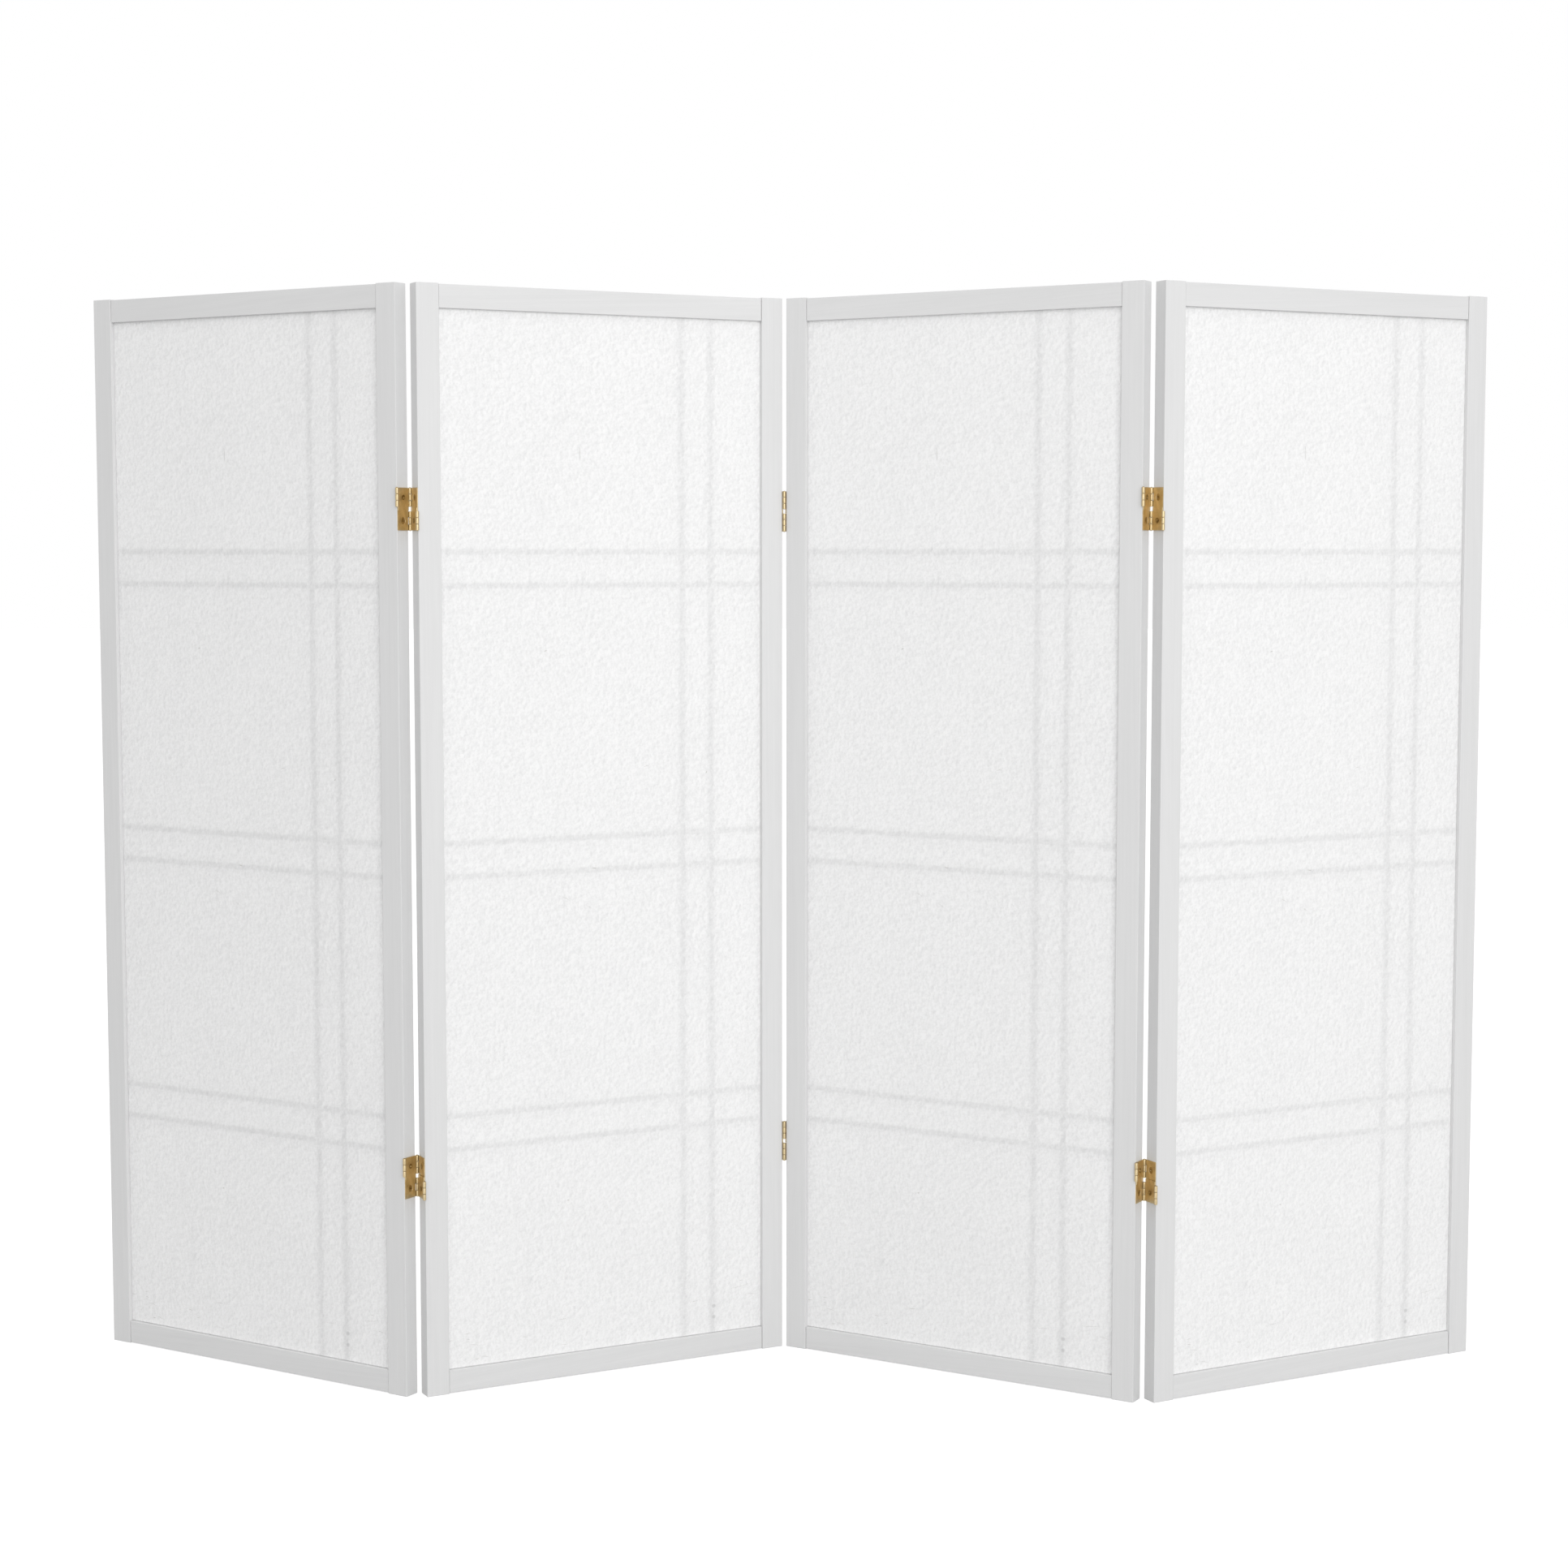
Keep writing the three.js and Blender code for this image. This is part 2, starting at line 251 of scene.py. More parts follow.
def stile_mesh(name, inner, hinged):
    """One upright member. inner is +1 or -1, the side of its inner face, and hinges go on the other."""
    width, depth = STILE_WIDTH, FRAME_DEPTH
    stile = planed_bar(name, width, depth, PANEL_HEIGHT, STILE_EDGE)
    stile.transform(Matrix.Translation((0, 0, PANEL_HEIGHT / 2)))
    face = STILE_WIDTH / 2

    def pocket(depth_in, y0, y1, z0, z1):
        return (inner * (face - depth_in), y0, z0), (inner * (face + OVERRUN), y1, z1)

    slot_depth = PAPER_TUCK + WOOD_GAP
    slot = blocks("slot", [pocket(slot_depth, PAPER_BACK - WOOD_GAP, BAR_BACK,
                                  OPENING_LOW - slot_depth, OPENING_HIGH + slot_depth)])
    half = BAR_WIDTH / 2 + WOOD_GAP
    pockets = [pocket(BAR_TUCK + WOOD_GAP, BAR_BACK - WOOD_GAP, BAR_BACK + BAR_DEPTH + WOOD_GAP,
                      z - half, z + half) for z in CROSS_BARS]
    for z in (RAIL_DROP, PANEL_HEIGHT - RAIL_DROP - RAIL_HEIGHT):
        low = z + TENON_SHOULDER - WOOD_GAP
        high = z + RAIL_HEIGHT - TENON_SHOULDER + WOOD_GAP
        front = BAR_BACK + TENON_THICKNESS + WOOD_GAP
        pockets.append(pocket(TENON_LENGTH + WOOD_GAP, BAR_BACK - WOOD_GAP, front, low, high))
    tools = [slot, blocks("pockets", pockets)]
    if hinged:
        tools.append(pilot_holes(-inner * face, inner))
    return cut(stile, tools)


def pilot_holes(face, into):
    """The holes for the hinge screws, countersunk as the screw heads press the wood."""
    bm = bmesh.new()
    for height in HINGE_HEIGHTS.values():
        for side in (-1, 1):
            mouth = SCREW_SEAT + (SCREW_SEAT - PILOT_RADIUS) / SCREW_SINK * OVERRUN
            profile = [(0, -OVERRUN), (mouth, -OVERRUN), (PILOT_RADIUS, SCREW_SINK),
                       (PILOT_RADIUS, PILOT_DEPTH), (0, PILOT_DEPTH)]
            hole = turned([(r, face + into * h) for r, h in profile], 24, "X")
            moved(hole, (0, 0, height + side * SCREW_SPACING / 2))
            part = bpy.data.meshes.new("hole")
            hole.to_mesh(part)
            hole.free()
            bm.from_mesh(part)
    return finished(bm, "holes", smooth=False)


def rail_mesh(name, inner):
    """One cross member with its stub tenons. inner is +1 or -1, the way its inner edge looks."""
    length = OPENING_WIDTH - 2 * WOOD_GAP
    rail = planed_bar(name, RAIL_HEIGHT, FRAME_DEPTH - 2 * RAIL_SETBACK, length, RAIL_EDGE)
    rail.transform(Matrix.Rotation(math.pi / 2, 4, "Y"))
    reach = OPENING_WIDTH / 2 + TENON_LENGTH
    half = RAIL_HEIGHT / 2 - TENON_SHOULDER
    front = BAR_BACK + TENON_THICKNESS
    tenons = blocks("tenons", [((side * (length / 2 - OVERRUN), BAR_BACK, -half), (side * reach, front, half))
                               for side in (-1, 1)])
    rail = cut(rail, [tenons], "UNION")
    face = RAIL_HEIGHT / 2
    past = length / 2 + OVERRUN
    top = inner * (face + OVERRUN)
    slot = blocks("slot", [((-past, PAPER_BACK - WOOD_GAP, inner * (face - PAPER_TUCK - WOOD_GAP)),
                            (past, BAR_BACK, top))])
    wide = BAR_WIDTH / 2 + WOOD_GAP
    pockets = [((x - PANEL_WIDTH / 2 - wide, BAR_BACK - WOOD_GAP, inner * (face - BAR_TUCK - WOOD_GAP)),
                (x - PANEL_WIDTH / 2 + wide, BAR_BACK + BAR_DEPTH + WOOD_GAP, top)) for x in UPRIGHTS]
    return cut(rail, [slot, blocks("pockets", pockets)])


# ---------------------------------------------------------------- lattice and paper

def notched_bar(bm, place, start, end, crossings, upright):
    """A lattice bar at place with half-lap notches: at the back of an upright, the front of a cross bar."""
    middle = BAR_BACK + BAR_DEPTH / 2
    full, cheek = (BAR_BACK + BAR_DEPTH, BAR_BACK) if upright else (BAR_BACK, BAR_BACK + BAR_DEPTH)
    floor = middle + (LAP_GAP if upright else -LAP_GAP) / 2
    wide = BAR_WIDTH / 2 + LAP_GAP
    outline = [(start, full), (start, cheek)]
    for spot in crossings:
        outline += [(spot - wide, cheek), (spot - wide, floor), (spot + wide, floor), (spot + wide, cheek)]
    outline += [(end, cheek), (end, full)]
    made = []
    for side in (-1, 1):
        across = place + side * BAR_WIDTH / 2
        made.append([bm.verts.new((across, y, s) if upright else (s, y, across)) for s, y in outline])
    low, high = made
    faces = [bm.faces.new(low), bm.faces.new(high)]
    for i in range(len(outline)):
        j = (i + 1) % len(outline)
        faces.append(bm.faces.new((low[i], low[j], high[j], high[i])))
    bmesh.ops.recalc_face_normals(bm, faces=faces)
    edges = [e for e in {e for f in faces for e in f.edges} if e.is_convex]
    bmesh.ops.bevel(bm, geom=edges, offset=BAR_EDGE, segments=2, profile=0.5, affect="EDGES",
                    clamp_overlap=True)


def bars_mesh(name, upright):
    """The two uprights or the six cross bars of a panel's lattice."""
    bm = bmesh.new()
    if upright:
        for x in UPRIGHTS:
            notched_bar(bm, x, OPENING_LOW - BAR_TUCK, OPENING_HIGH + BAR_TUCK, CROSS_BARS, True)
    else:
        left = STILE_WIDTH - BAR_TUCK
        for z in CROSS_BARS:
            notched_bar(bm, z, left, PANEL_WIDTH - left, UPRIGHTS, False)
    return finished(bm, name)


def cockle(x, z, seed):
    """How far the sheet stands off flat at a point, nothing at its edges."""
    margin = 0.02
    inside = min(x - STILE_WIDTH, PANEL_WIDTH - STILE_WIDTH - x, z - OPENING_LOW, OPENING_HIGH - z)
    fade = max(0.0, min(1.0, inside / margin))
    swell = noise.noise(Vector((x * 9, z * 4.5, seed * 7.3))) - 0.7
    ripple = noise.noise(Vector((x * 31, z * 17, seed * 3.1)))
    return COCKLE * fade * (swell + 0.3 * ripple)


def paper_mesh(name, seed):
    """The sheet of paper as a closed skin, with its slight cockles. The edges lie in the slots."""
    left, right = STILE_WIDTH - PAPER_TUCK, PANEL_WIDTH - STILE_WIDTH + PAPER_TUCK
    low, high = OPENING_LOW - PAPER_TUCK, OPENING_HIGH + PAPER_TUCK
    columns, rows = round((right - left) / PAPER_STEP), round((high - low) / PAPER_STEP)
    bm = bmesh.new()
    sides = []
    for y in (PAPER_BACK, PAPER_BACK + PAPER_THICKNESS):
        grid = []
        for j in range(rows + 1):
            z = low + (high - low) * j / rows
            spots = [left + (right - left) * i / columns for i in range(columns + 1)]
            grid.append([bm.verts.new((x, y + cockle(x, z, seed), z)) for x in spots])
        for below, above in zip(grid, grid[1:]):
            for i in range(columns):
                bm.faces.new((below[i], below[i + 1], above[i + 1], above[i]))
        sides.append(grid)
    rims = []
    for grid in sides:
        rims.append(grid[0] + [row[-1] for row in grid[1:]] + grid[-1][-2::-1]
                    + [row[0] for row in grid[-2:0:-1]])
    back, front = rims
    for i in range(len(back)):
        j = (i + 1) % len(back)
        bm.faces.new((back[i], back[j], front[j], front[i]))
    return finished(bm, name)


def add_fibre(bm, points, radius):
    """A thin tapered thread along points, with three sides and pointed ends."""
    rings = []
    for i, point in enumerate(points):
        ahead = points[min(i + 1, len(points) - 1)]
        behind = points[max(i - 1, 0)]
        along = (ahead - behind).normalized()
        across = along.cross(Vector((0, 1, 0))).normalized()
        taper = math.sin(math.pi * (i + 0.4) / (len(points) - 0.2))
        ring = []
        for k in range(3):
            angle = math.tau * k / 3 + math.pi / 2
            offset = across * math.cos(angle) + Vector((0, 1, 0)) * math.sin(angle)
            ring.append(bm.verts.new(point + offset * radius * max(taper, 0.25)))
        rings.append(ring)
    for low, high in zip(rings, rings[1:]):
        for k in range(3):
            bm.faces.new((low[k], low[(k + 1) % 3], high[(k + 1) % 3], high[k]))
    bm.faces.new(rings[0])
    bm.faces.new(rings[-1])


def fibres_mesh(name, seed):
    """The dark fibres in a sheet, which is the same print of pulp on every panel."""
    bm = bmesh.new()
    for index, (x, z, length, slope, radius) in enumerate(FIBRES):
        heading = math.radians(slope)
        bend = (-1) ** index * FIBRE_BEND
        steps = 8
        place = Vector((x, z)) / 1000 - Vector((math.cos(heading), math.sin(heading))) * length / 2000
        points = []
        for _ in range(steps + 1):
            points.append(Vector((place.x, PAPER_BACK + cockle(*place, seed), place.y)))
            place += Vector((math.cos(heading), math.sin(heading))) * length / 1000 / steps
            heading += bend / steps
        add_fibre(bm, points, radius / 1000)
    return finished(bm, name)


# ---------------------------------------------------------------- hinges

def knuckle_span(low, index):
    """Lowest and highest point of a knuckle in the barrel that starts at low."""
    start = low + index * (KNUCKLE_LENGTH + KNUCKLE_GAP)
    return start, start + KNUCKLE_LENGTH


def rolled_knuckle(bm, plate_back, wrap_end, side, span):
    """A tongue of a plate that bends outward and rolls round the pin. side is +1 in front, -1 at the back."""
    middle = plate_back + PLATE_PLY / 2
    radius = BORE_RADIUS + PLATE_PLY / 2
    overlap = 0.0007
    bend_steps, roll_steps = 10, 40
    line = [Vector((middle, PLATE_HALF - overlap))]
    for i in range(bend_steps):
        t = i / bend_steps
        ease = t * t * (3 - 2 * t)
        line.append(Vector((middle + (-radius - middle) * ease, PLATE_HALF + (PIN_LINE - PLATE_HALF) * t)))
    for i in range(roll_steps + 1):
        angle = math.pi + (wrap_end - math.pi) * i / roll_steps
        line.append(Vector((radius * math.cos(angle), PIN_LINE + radius * math.sin(angle))))
    normals = []
    for i in range(len(line)):
        along = (line[min(i + 1, len(line) - 1)] - line[max(i - 1, 0)]).normalized()
        normals.append(Vector((-along.y, along.x)))
    z0, z1 = span
    edge_steps = 4
    insets = []
    for i in range(edge_steps + 1):
        t = math.pi / 2 * i / edge_steps
        insets.append((KNUCKLE_EDGE * (1 - math.cos(t)), KNUCKLE_EDGE * (1 - math.sin(t))))
    levels = [(z0 + up, inset) for up, inset in insets] + [(z1 - up, inset) for up, inset in reversed(insets)]
    outer, inner = [], []
    for z, inset in levels:
        rows = []
        for sign, trim in ((1, inset), (-1, 0)):
            spots = [p + n * sign * (PLATE_PLY / 2 - trim * fade_in(i)) for i, (p, n) in
                     enumerate(zip(line, normals))]
            rows.append([bm.verts.new((p.x, side * p.y, z)) for p in spots])
        outer.append(rows[0])
        inner.append(rows[1])
    last = len(line) - 1
    for k in range(len(levels) - 1):
        for grid in (outer, inner):
            for i in range(last):
                bm.faces.new((grid[k][i], grid[k][i + 1], grid[k + 1][i + 1], grid[k + 1][i]))
        for i in (0, last):
            bm.faces.new((outer[k][i], outer[k + 1][i], inner[k + 1][i], inner[k][i]))
    for k in (0, len(levels) - 1):
        for i in range(last):
            bm.faces.new((outer[k][i], outer[k][i + 1], inner[k][i + 1], inner[k][i]))


def fade_in(index):
    """The rounding of a knuckle's ends starts past the bend, so that the tongue leaves its plate square."""
    return max(0.0, min(1.0, (index - 3) / 6))


def plate_mesh(name, back, low, high):
    """A hinge plate with round corners."""
    bm = bmesh.new()
    add_block(bm, (back, -PLATE_HALF, low), (back + PLATE_PLY, PLATE_HALF, high))
    short = [e for e in bm.edges if abs(e.verts[0].co.x - e.verts[1].co.x) > PLATE_PLY / 2]
    bmesh.ops.bevel(bm, geom=short, offset=PLATE_CORNER, segments=5, profile=0.5, affect="EDGES")
    return finished(bm, name)


def hole_tool(radius_in, radius_out, back, height):
    """A tapered tool through a plate, its wide end on the open face."""
    ends = [(0, back - PLY_GAP), (radius_in, back - PLY_GAP),
            (radius_out, back + PLATE_PLY + PLY_GAP), (0, back + PLATE_PLY + PLY_GAP)]
    return finished(moved(turned(ends, 40, "X"), (0, 0, height)), "hole", smooth=False)


def knuckles_mesh(plate_back, wrap_end, places):
    """The knuckles of one plate in a mesh, from (side, low end of the barrel, index) triples."""
    bm = bmesh.new()
    for side, low, index in places:
        rolled_knuckle(bm, plate_back, wrap_end, side, knuckle_span(low, index))
    return finished(bm, "knuckles")


TURNING_LOW = -BARREL_OUTER
RESTING_LOW = BARREL_SPACING / 2
LEAF_WRAP_END = math.radians(-105)
LINK_WRAP_END = math.radians(-86)


def leaf_mesh():
    """A leaf: a plate screwed to the panel's edge, with the end knuckles of one barrel on each line."""
    plate = plate_mesh("leaf", LEAF_BACK, -BARREL_OUTER, BARREL_OUTER)
    places = [(1, TURNING_LOW, 0), (1, TURNING_LOW, 2), (-1, RESTING_LOW, 0), (-1, RESTING_LOW, 2)]
    plate = cut(plate, [knuckles_mesh(LEAF_BACK, LEAF_WRAP_END, places)], "UNION")
    tools = [hole_tool(SCREW_SEAT, SCREW_HEAD, LEAF_BACK, side * SCREW_SPACING / 2) for side in (-1, 1)]
    return cut(plate, tools)


def link_mesh():
    """A link: a plate over half of the leaf, with the middle knuckle of one barrel on each line."""
    plate = plate_mesh("link", LINK_BACK, TURNING_GAP - RESTING_LOW, BARREL_OUTER)
    places = [(1, RESTING_LOW, 1), (-1, RESTING_LOW, 1)]
    plate = cut(plate, [knuckles_mesh(LINK_BACK, LINK_WRAP_END, places)], "UNION")
    return cut(plate, [hole_tool(ACCESS_RADIUS, ACCESS_RADIUS, LINK_BACK, SCREW_SPACING / 2)])


def pin_mesh():
    """A hinge pin with a domed head, in the turning barrel."""
    foot = TURNING_LOW - PIN_DOME
    top = TURNING_LOW + BARREL_LENGTH
    dome_steps = 6
    profile = []
    for i in range(dome_steps + 1):
        t = math.pi / 2 * i / dome_steps
        profile.append((PIN_RADIUS * math.sin(t), foot + PIN_DOME * (1 - math.cos(t))))
    chamfer = PIN_RADIUS / 6
    profile += [(PIN_RADIUS, top - chamfer), (PIN_RADIUS - chamfer, top), (0, top)]
    return finished(moved(turned(profile, 32), (0, PIN_LINE, 0)), "pin")


def screw_mesh():
    """A countersunk wood screw along X with a cross recess, its head in the leaf's seat."""
    head = SCREW_HEAD - SCREW_CLEARANCE
    top = LEAF_BACK + PLATE_PLY - SCREW_CLEARANCE / 4
    neck = top - PLATE_PLY - SCREW_SINK + SCREW_CLEARANCE
    point = top - SCREW_LENGTH
    segments, turns_of_steps = 24, 8
    bm = bmesh.new()
    sections = [(0, 0.0, top + SCREW_CLEARANCE / 4), (0.55, 0.0, top + SCREW_CLEARANCE / 5),
                (0.9, 0.0, top), (1.0, 0.0, top - SCREW_CLEARANCE)]
    levels = [(head * share, 0.0, x) for share, _, x in sections]
    levels.append((SCREW_CORE + SCREW_THREAD / 2, 0.0, neck))
    steps = round((neck - point) / SCREW_PITCH * turns_of_steps)
    for i in range(1, steps):
        x = neck + (point - neck) * i / steps
        taper = min(1.0, (steps - i) / (3 * turns_of_steps))
        start = min(1.0, i / turns_of_steps)
        levels.append((SCREW_CORE * taper, SCREW_THREAD * taper * start, x))
    levels.append((0, 0.0, point))
    rings = []
    for core, thread, x in levels:
        count = segments if core > 0 else 1
        ring = []
        for k in range(count):
            phase = (x / SCREW_PITCH - k / segments) % 1
            ridge = max(0.0, 1 - abs(phase - 0.5) * 4)
            radius = core + thread * ridge
            angle = math.tau * k / segments
            ring.append(bm.verts.new((x, radius * math.cos(angle), radius * math.sin(angle))))
        rings.append(ring)
    for low, high in zip(rings, rings[1:]):
        for k in range(segments):
            corners = [low[k % len(low)], low[(k + 1) % len(low)],
                       high[(k + 1) % len(high)], high[k % len(high)]]
            bm.faces.new(dict.fromkeys(corners))
    return cut(finished(bm, "screw"), [recess_tool(top)])


def recess_tool(top):
    """A cross recess that narrows as it goes down."""
    depth, reach, width = 0.0016, 0.0019, 0.00042
    bm = bmesh.new()
    rings = []
    for x, far, near in ((top - depth, reach * 0.35, width * 0.6), (top + OVERRUN / 2, reach * 1.1, width)):
        corner = [(far, -near), (far, near), (near, near)]
        ring = []
        for quarter in range(4):
            turn = Matrix.Rotation(math.pi / 2 * quarter, 2)
            ring += [bm.verts.new((x, *(turn @ Vector(spot)))) for spot in corner]
        rings.append(ring)
    low, high = rings
    for i in range(len(low)):
        j = (i + 1) % len(low)
        bm.faces.new((low[i], low[j], high[j], high[i]))
    bm.faces.new(low)
    bm.faces.new(high)
    return finished(bm, "recess", smooth=False)


# ---------------------------------------------------------------- materials

class Nodes:
    """Adds shader nodes to a tree, with their inputs linked or set in one call."""

    def __init__(self, name):
        self.material = bpy.data.materials.new(name)
        self.material.use_nodes = True
        self.tree = self.material.node_tree
        self.tree.nodes.clear()

    def add(self, kind, inputs=(), **settings):
        node = self.tree.nodes.new("ShaderNode" + kind)
        for key, value in settings.items():
            setattr(node, key, value)
        for socket, value in dict(inputs).items():
            if isinstance(value, bpy.types.NodeSocket):
                self.tree.links.new(value, node.inputs[socket])
            else:
                node.inputs[socket].default_value = value
        return node.outputs[0] if node.outputs else None

    def maths(self, operation, *values):
        return self.add("Math", dict(enumerate(values)), operation=operation)

    def smooth(self, value, low, high, to_low=0.0, to_high=1.0):
        inputs = {"Value": value, "From Min": low, "From Max": high, "To Min": to_low, "To Max": to_high}
        return self.add("MapRange", inputs, interpolation_type="SMOOTHSTEP")

    def linear(self, value, low, high, to_low, to_high):
        inputs = {"Value": value, "From Min": low, "From Max": high, "To Min": to_low, "To Max": to_high}
        return self.add("MapRange", inputs)

    def noise(self, coordinates, stretch, detail=2.0, seed=None, roughness=0.5):
        """Noise whose cells are as many to the metre along each axis as stretch says."""
        scaled = self.add("VectorMath", {0: coordinates, 1: stretch}, operation="MULTIPLY")
        inputs = {"Vector": scaled, "Scale": 1.0, "Detail": detail, "Roughness": roughness}
        if seed is None:
            return self.add("TexNoise", inputs)
        return self.add("TexNoise", {**inputs, "W": seed}, noise_dimensions="4D")

    def painted_relief_light(self, coordinates, stretch, offset, **settings):
        """How much higher a noise is on one side of a point than on the other: painted light and shade, as a
        grazing light would show raised pulp.
        """
        ahead = self.add("VectorMath", {0: coordinates, 1: offset}, operation="ADD")
        behind = self.add("VectorMath", {0: coordinates, 1: offset}, operation="SUBTRACT")
        return self.maths("SUBTRACT", self.noise(ahead, stretch, **settings),
                          self.noise(behind, stretch, **settings))

    def tinted(self, colour, *factors):
        """A colour times some factors."""
        product = factors[0]
        for factor in factors[1:]:
            product = self.maths("MULTIPLY", product, factor)
        grey = self.add("CombineColor", {"Red": product, "Green": product, "Blue": product})
        mix = self.tree.nodes.new("ShaderNodeMix")
        mix.data_type = "RGBA"
        mix.blend_type = "MULTIPLY"
        mix.inputs["Factor"].default_value = 1.0
        a, b = [s for s in mix.inputs if s.name in "AB" and s.type == "RGBA"]
        self.tree.links.new(grey, a)
        b.default_value = (*colour, 1.0)
        return next(s for s in mix.outputs if s.type == "RGBA")

    def output(self, surface):
        self.add("OutputMaterial", {"Surface": surface})
        return self.material


def panel_seed(nodes):
    """A number that differs from panel to panel, so that no two pieces of wood or paper are alike."""
    node = nodes.tree.nodes.new("ShaderNodeAttribute")
    node.attribute_name = "panel"
    return node.outputs["Fac"]


def painted_wood(name, along, lean):
    """Satin white paint over planed softwood, whose grain shows through it, near the given axis."""
    nodes = Nodes(name)
    place = nodes.tree.nodes.new("ShaderNodeTexCoord").outputs["Object"]
    seed = panel_seed(nodes)
    grain = nodes.add("VectorRotate", {"Vector": place, "Axis": (0, 1, 0), "Angle": lean})

    def stretched(lengthwise, across):
        return tuple(lengthwise if axis == along else across for axis in range(3))

    drift = nodes.noise(grain, stretched(2.2, 26), detail=1.0, seed=seed)
    figure = nodes.maths("SINE", nodes.maths("MULTIPLY", drift, 60.0))
    streaks = nodes.noise(grain, stretched(3.5, 300), detail=2.0, seed=seed)
    pores = nodes.noise(grain, stretched(28, 1300), detail=3.0, seed=seed)
    brush = nodes.noise(place, stretched(9, 420), detail=2.0, seed=seed)
    blotch = nodes.noise(place, stretched(5, 30), detail=2.0, seed=seed)
    height = nodes.maths("MULTIPLY_ADD", figure, 0.12, pores)
    height = nodes.maths("MULTIPLY_ADD", brush, 0.6, height)
    tone = [nodes.linear(figure, -1.0, 1.0, 0.995, 1.004),
            nodes.linear(streaks, 0.3, 0.7, 0.983, 1.015),
            nodes.linear(pores, 0.3, 0.7, 0.988, 1.008),
            nodes.linear(blotch, 0.3, 0.7, 0.992, 1.006)]
    bump = nodes.add("Bump", {"Strength": 0.35, "Distance": 0.00006, "Height": height})
    shader = nodes.add("BsdfPrincipled", {
        "Base Color": nodes.tinted(WHITE_PAINT, *tone),
        "Roughness": nodes.linear(brush, 0.3, 0.7, 0.42, 0.56),
        "Specular IOR Level": 0.4,
        "Normal": bump,
    })
    return nodes.output(shader)


def painted_bar_shadow_mask(nodes, across, centres, spacing, inner, outer, ragged):
    """Where a painted bar shadow falls: 1 where a bar of one of the pairs lies against the paper, fading to 0
    beside it.
    """
    nearest = None
    for centre in centres:
        off_pair = nodes.maths("ABSOLUTE", nodes.maths("SUBTRACT", across, centre))
        off_bar = nodes.maths("ABSOLUTE", nodes.maths("SUBTRACT", off_pair, spacing / 2))
        nearest = off_bar if nearest is None else nodes.maths("MINIMUM", nearest, off_bar)
    if ragged is not None:
        nearest = nodes.maths("MULTIPLY_ADD", ragged, 0.0024, nearest)
    return nodes.smooth(nearest, inner, outer, 1.0, 0.0)


def smudged(nodes, across, up):
    """1 in the soft dark spots of the paper, fading to 0 round them."""
    darkest = None
    for x, z, radius, strength in SMUDGES:
        aside = nodes.maths("SUBTRACT", across, x / 1000)
        above = nodes.maths("SUBTRACT", up, z / 1000)
        square = nodes.maths("MULTIPLY_ADD", above, above, nodes.maths("MULTIPLY", aside, aside))
        spot = nodes.smooth(nodes.maths("SQRT", square), radius / 3000, radius / 1000, strength, 0.0)
        darkest = spot if darkest is None else nodes.maths("MAXIMUM", darkest, spot)
    return darkest


